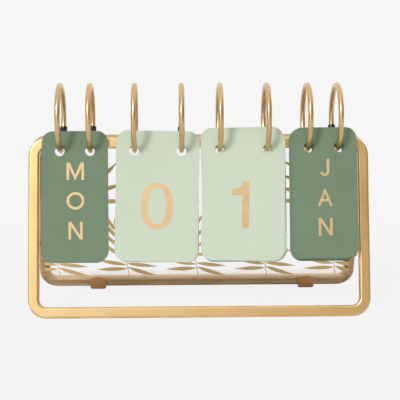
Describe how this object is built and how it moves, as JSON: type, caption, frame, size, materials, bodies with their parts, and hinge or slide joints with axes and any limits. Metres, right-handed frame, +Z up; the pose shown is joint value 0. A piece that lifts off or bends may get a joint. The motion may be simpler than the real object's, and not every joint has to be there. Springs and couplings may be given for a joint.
{
  "type": "perpetual desk calendar",
  "caption": "Easel desk calendar of brass bar loops with ring-hung double-sided flip cards for weekday, day and month, and a clear back panel in spring clips.",
  "frame": {"origin": "on the desk, under the middle of the overall length and depth", "axes": "+X to the reader's right along the bars, +Y away from the reader, +Z up"},
  "size_m": [0.2416, 0.0848, 0.1607],
  "materials": {
    "brass_bar": "satin, clear lacquered",
    "ring_wire": "polished wire",
    "clip_brass": "satin, darker than the bars",
    "clear_panel": "clear, polished edges, gold print on the front",
    "black_rubber": "glossy",
    "green_card": "matt laminated, gold lettering on both sides",
    "sage_card": "matt laminated, gold numbers on both sides"
  },
  "bodies": {
    "stand": {"bottom_clip_left": "clip_brass", "bottom_clip_right": "clip_brass", "front_frame": "brass_bar", "glass_panel": "clear_panel", "month_ring_left": "ring_wire", "month_ring_right": "ring_wire", "rear_frame": "brass_bar", "side_clip_left": "clip_brass", "side_clip_right": "clip_brass", "tens_ring_left": "ring_wire", "tens_ring_right": "ring_wire", "units_ring_left": "ring_wire", "units_ring_right": "ring_wire", "weekday_ring_left": "ring_wire", "weekday_ring_right": "ring_wire"},
    "weekday_card_4": {"weekday_card_4": "green_card"},
    "weekday_card_3": {"weekday_card_3": "green_card"},
    "weekday_card_2": {"weekday_card_2": "green_card"},
    "weekday_card_1": {"weekday_card_1": "green_card"},
    "weekday_sleeve_left": {"weekday_sleeve_left": "black_rubber"},
    "weekday_sleeve_right": {"weekday_sleeve_right": "black_rubber"},
    "tens_card_2": {"tens_card_2": "sage_card"},
    "tens_card_1": {"tens_card_1": "sage_card"},
    "tens_sleeve_left": {"tens_sleeve_left": "black_rubber"},
    "tens_sleeve_right": {"tens_sleeve_right": "black_rubber"},
    "units_card_5": {"units_card_5": "sage_card"},
    "units_card_4": {"units_card_4": "sage_card"},
    "units_card_3": {"units_card_3": "sage_card"},
    "units_card_2": {"units_card_2": "sage_card"},
    "units_card_1": {"units_card_1": "sage_card"},
    "units_sleeve_left": {"units_sleeve_left": "black_rubber"},
    "units_sleeve_right": {"units_sleeve_right": "black_rubber"},
    "month_card_6": {"month_card_6": "green_card"},
    "month_card_5": {"month_card_5": "green_card"},
    "month_card_4": {"month_card_4": "green_card"},
    "month_card_3": {"month_card_3": "green_card"},
    "month_card_2": {"month_card_2": "green_card"},
    "month_card_1": {"month_card_1": "green_card"},
    "month_sleeve_left": {"month_sleeve_left": "black_rubber"},
    "month_sleeve_right": {"month_sleeve_right": "black_rubber"}
  },
  "joints": [
    {"name": "weekday_card_4_flip", "type": "hinge", "parent": "stand", "child": "weekday_card_4", "pos_m": [-0.0871, -0.00321, 0.13587], "axis": [-1, 0, 0], "range_deg": [0, 240]},
    {"name": "weekday_card_3_flip", "type": "hinge", "parent": "weekday_card_4", "child": "weekday_card_3", "pos_m": [-0.0871, -0.00321, 0.13587], "axis": [-1, 0, 0], "range_deg": [0, 240]},
    {"name": "weekday_card_2_flip", "type": "hinge", "parent": "weekday_card_3", "child": "weekday_card_2", "pos_m": [-0.0871, -0.00321, 0.13587], "axis": [-1, 0, 0], "range_deg": [0, 240]},
    {"name": "weekday_card_1_flip", "type": "hinge", "parent": "weekday_card_2", "child": "weekday_card_1", "pos_m": [-0.0871, -0.00321, 0.13587], "axis": [-1, 0, 0], "range_deg": [0, 240]},
    {"name": "weekday_sleeve_left_slide", "type": "hinge", "parent": "stand", "child": "weekday_sleeve_left", "pos_m": [-0.09765, -0.00321, 0.13587], "axis": [1, 0, 0], "range_deg": [0, 16]},
    {"name": "weekday_sleeve_right_slide", "type": "hinge", "parent": "stand", "child": "weekday_sleeve_right", "pos_m": [-0.07655, -0.00321, 0.13587], "axis": [1, 0, 0], "range_deg": [0, 16]},
    {"name": "tens_card_2_flip", "type": "hinge", "parent": "stand", "child": "tens_card_2", "pos_m": [-0.0288, -0.00321, 0.13587], "axis": [-1, 0, 0], "range_deg": [0, 240]},
    {"name": "tens_card_1_flip", "type": "hinge", "parent": "tens_card_2", "child": "tens_card_1", "pos_m": [-0.0288, -0.00321, 0.13587], "axis": [-1, 0, 0], "range_deg": [0, 240]},
    {"name": "tens_sleeve_left_slide", "type": "hinge", "parent": "stand", "child": "tens_sleeve_left", "pos_m": [-0.0454, -0.00321, 0.13587], "axis": [1, 0, 0], "range_deg": [0, 16]},
    {"name": "tens_sleeve_right_slide", "type": "hinge", "parent": "stand", "child": "tens_sleeve_right", "pos_m": [-0.0122, -0.00321, 0.13587], "axis": [1, 0, 0], "range_deg": [0, 16]},
    {"name": "units_card_5_flip", "type": "hinge", "parent": "stand", "child": "units_card_5", "pos_m": [0.0314, -0.00321, 0.13587], "axis": [-1, 0, 0], "range_deg": [0, 240]},
    {"name": "units_card_4_flip", "type": "hinge", "parent": "units_card_5", "child": "units_card_4", "pos_m": [0.0314, -0.00321, 0.13587], "axis": [-1, 0, 0], "range_deg": [0, 240]},
    {"name": "units_card_3_flip", "type": "hinge", "parent": "units_card_4", "child": "units_card_3", "pos_m": [0.0314, -0.00321, 0.13587], "axis": [-1, 0, 0], "range_deg": [0, 240]},
    {"name": "units_card_2_flip", "type": "hinge", "parent": "units_card_3", "child": "units_card_2", "pos_m": [0.0314, -0.00321, 0.13587], "axis": [-1, 0, 0], "range_deg": [0, 240]},
    {"name": "units_card_1_flip", "type": "hinge", "parent": "units_card_2", "child": "units_card_1", "pos_m": [0.0314, -0.00321, 0.13587], "axis": [-1, 0, 0], "range_deg": [0, 240]},
    {"name": "units_sleeve_left_slide", "type": "hinge", "parent": "stand", "child": "units_sleeve_left", "pos_m": [0.0148, -0.00321, 0.13587], "axis": [1, 0, 0], "range_deg": [0, 16]},
    {"name": "units_sleeve_right_slide", "type": "hinge", "parent": "stand", "child": "units_sleeve_right", "pos_m": [0.048, -0.00321, 0.13587], "axis": [1, 0, 0], "range_deg": [0, 16]},
    {"name": "month_card_6_flip", "type": "hinge", "parent": "stand", "child": "month_card_6", "pos_m": [0.0873, -0.00321, 0.13587], "axis": [-1, 0, 0], "range_deg": [0, 240]},
    {"name": "month_card_5_flip", "type": "hinge", "parent": "month_card_6", "child": "month_card_5", "pos_m": [0.0873, -0.00321, 0.13587], "axis": [-1, 0, 0], "range_deg": [0, 240]},
    {"name": "month_card_4_flip", "type": "hinge", "parent": "month_card_5", "child": "month_card_4", "pos_m": [0.0873, -0.00321, 0.13587], "axis": [-1, 0, 0], "range_deg": [0, 240]},
    {"name": "month_card_3_flip", "type": "hinge", "parent": "month_card_4", "child": "month_card_3", "pos_m": [0.0873, -0.00321, 0.13587], "axis": [-1, 0, 0], "range_deg": [0, 240]},
    {"name": "month_card_2_flip", "type": "hinge", "parent": "month_card_3", "child": "month_card_2", "pos_m": [0.0873, -0.00321, 0.13587], "axis": [-1, 0, 0], "range_deg": [0, 240]},
    {"name": "month_card_1_flip", "type": "hinge", "parent": "month_card_2", "child": "month_card_1", "pos_m": [0.0873, -0.00321, 0.13587], "axis": [-1, 0, 0], "range_deg": [0, 240]},
    {"name": "month_sleeve_left_slide", "type": "hinge", "parent": "stand", "child": "month_sleeve_left", "pos_m": [0.07675, -0.00321, 0.13587], "axis": [1, 0, 0], "range_deg": [0, 16]},
    {"name": "month_sleeve_right_slide", "type": "hinge", "parent": "stand", "child": "month_sleeve_right", "pos_m": [0.09785, -0.00321, 0.13587], "axis": [1, 0, 0], "range_deg": [0, 16]}
  ]
}
